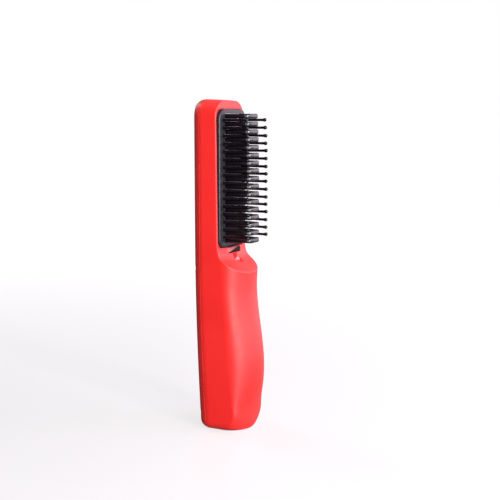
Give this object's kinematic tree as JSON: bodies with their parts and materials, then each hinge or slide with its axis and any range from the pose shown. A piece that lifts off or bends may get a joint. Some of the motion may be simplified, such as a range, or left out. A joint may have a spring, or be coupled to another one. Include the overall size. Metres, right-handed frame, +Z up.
{
  "type": "heated straightening brush",
  "caption": "Cordless heated straightening brush with capped heating fins, ball-tipped bristles, a scooped thumb rest with a power button, and a battery handle that stands on its flat base.",
  "frame": {"origin": "centre of the flat base that the brush stands on, under the head's front plane", "axes": "+Z up along the handle to the head, -Y the bristle side, +X to the right when the bristles face the viewer"},
  "size_m": [0.037, 0.0404, 0.21],
  "materials": {
    "red_shell": "fine-grained soft-touch",
    "red_cover": "fine-grained soft-touch",
    "black_frame": "satin moulded",
    "bristle": "glossy nylon",
    "fin_coating": "satin ceramic coating",
    "cap_grey": "satin",
    "plate_metal": "machined",
    "ceramic": "matt",
    "mica": "matt sheet",
    "spring_steel": "rolled",
    "screw_steel": "zinc plated",
    "sensor": "epoxy",
    "fuse_metal": "bright",
    "cell_wrap": "shrink wrap",
    "inner_black": "moulded",
    "nickel": "nickel strip",
    "board_green": "solder mask",
    "chip_black": "moulded",
    "port_metal": "bright",
    "white_plastic": "moulded",
    "button_red": "high gloss",
    "lens_black": "smoked gloss lens",
    "display_grey": "moulded",
    "ribbon": "flexible circuit",
    "wire_red": "silicone sleeve"
  },
  "bodies": {
    "housing": {"front_housing": "red_shell", "back_cover": "red_cover", "bristle_frame": "black_frame", "bristles_left": "bristle", "bristles_right": "bristle", "heat_fins": "fin_coating", "fin_caps": "cap_grey", "hot_plate": "plate_metal", "heater_lower": "ceramic", "heater_upper": "ceramic", "mica_sheet": "mica", "heater_clamp": "spring_steel", "clamp_screws": "screw_steel", "thermistor": "sensor", "thermal_fuse": "fuse_metal", "heat_shield": "mica", "battery_cell": "cell_wrap", "battery_cradle": "inner_black", "battery_tab_top": "nickel", "battery_tab_base": "nickel", "main_board": "board_green", "board_parts": "chip_black", "board_screws": "screw_steel", "charge_board": "board_green", "usb_shell": "port_metal", "usb_tongue": "inner_black", "control_board": "board_green", "control_screws": "screw_steel", "switch_body": "port_metal", "display_lens": "lens_black", "display_module": "display_grey", "control_ribbon": "ribbon", "heater_lead_lower": "wire_red", "heater_lead_upper": "wire_red", "sensor_lead": "white_plastic", "cover_screws": "screw_steel"},
    "power_button": {"power_button": "button_red", "switch_plunger": "white_plastic"}
  },
  "joints": [
    {"name": "button_press", "type": "slide", "parent": "housing", "child": "power_button", "axis": [0, 0.788, -0.6157], "range_m": [0, 0.0005], "stiffness_N_per_m": 400}
  ]
}
